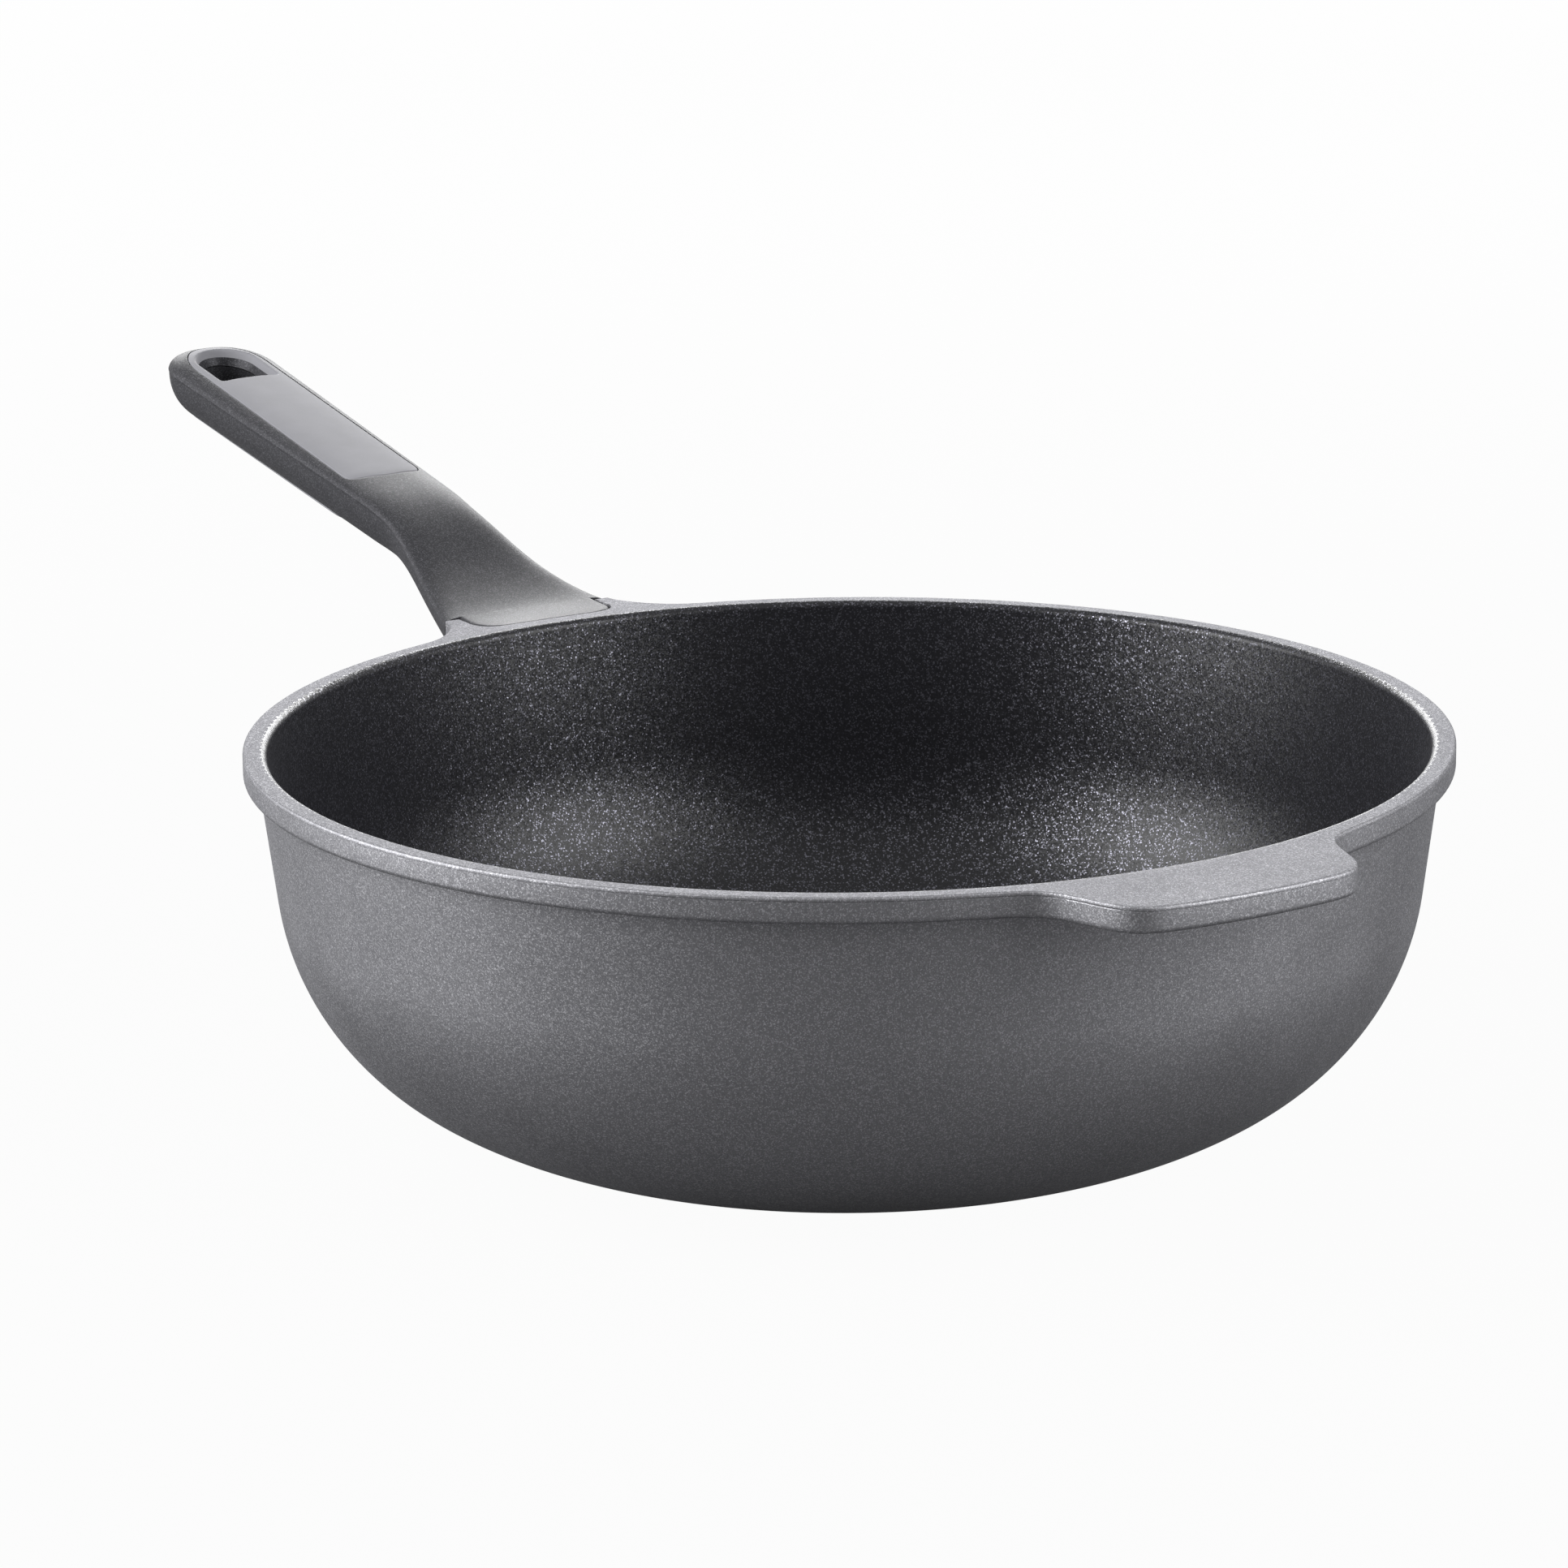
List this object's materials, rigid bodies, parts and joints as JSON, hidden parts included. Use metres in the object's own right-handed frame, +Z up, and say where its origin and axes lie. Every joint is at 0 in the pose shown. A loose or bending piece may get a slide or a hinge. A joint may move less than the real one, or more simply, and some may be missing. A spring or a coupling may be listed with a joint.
{
  "type": "wok",
  "caption": "Deep flat-based cast wok with a flanged rim, a cast helper ear and a rising stick handle with soft grip inserts and a hanging hole.",
  "frame": {"origin": "centre of the flat base, on the surface the wok stands on", "axes": "+X along the handle, away from the bowl; -X towards the helper ear; +Z up through the mouth of the bowl"},
  "size_m": [0.5126, 0.288, 0.1345],
  "materials": {
    "painted_aluminium": "cast aluminium sprayed with graphite metallic paint, fine silver speckle, satin",
    "nonstick_coating": "sprayed black non-stick coating with fine light specks, satin",
    "steel": "bare stainless steel, fine brushed",
    "phenolic": "moulded phenolic with dark metallic paint, fine speckle, satin",
    "soft_touch": "plain matt grey soft-touch moulding"
  },
  "bodies": {
    "root": {"wok_body": "painted_aluminium", "induction_disc": "steel", "handle_core": "phenolic", "top_grip_insert": "soft_touch", "bottom_grip_insert": "soft_touch", "handle_screw": "steel", "screw_washer": "steel"}
  },
  "joints": []
}
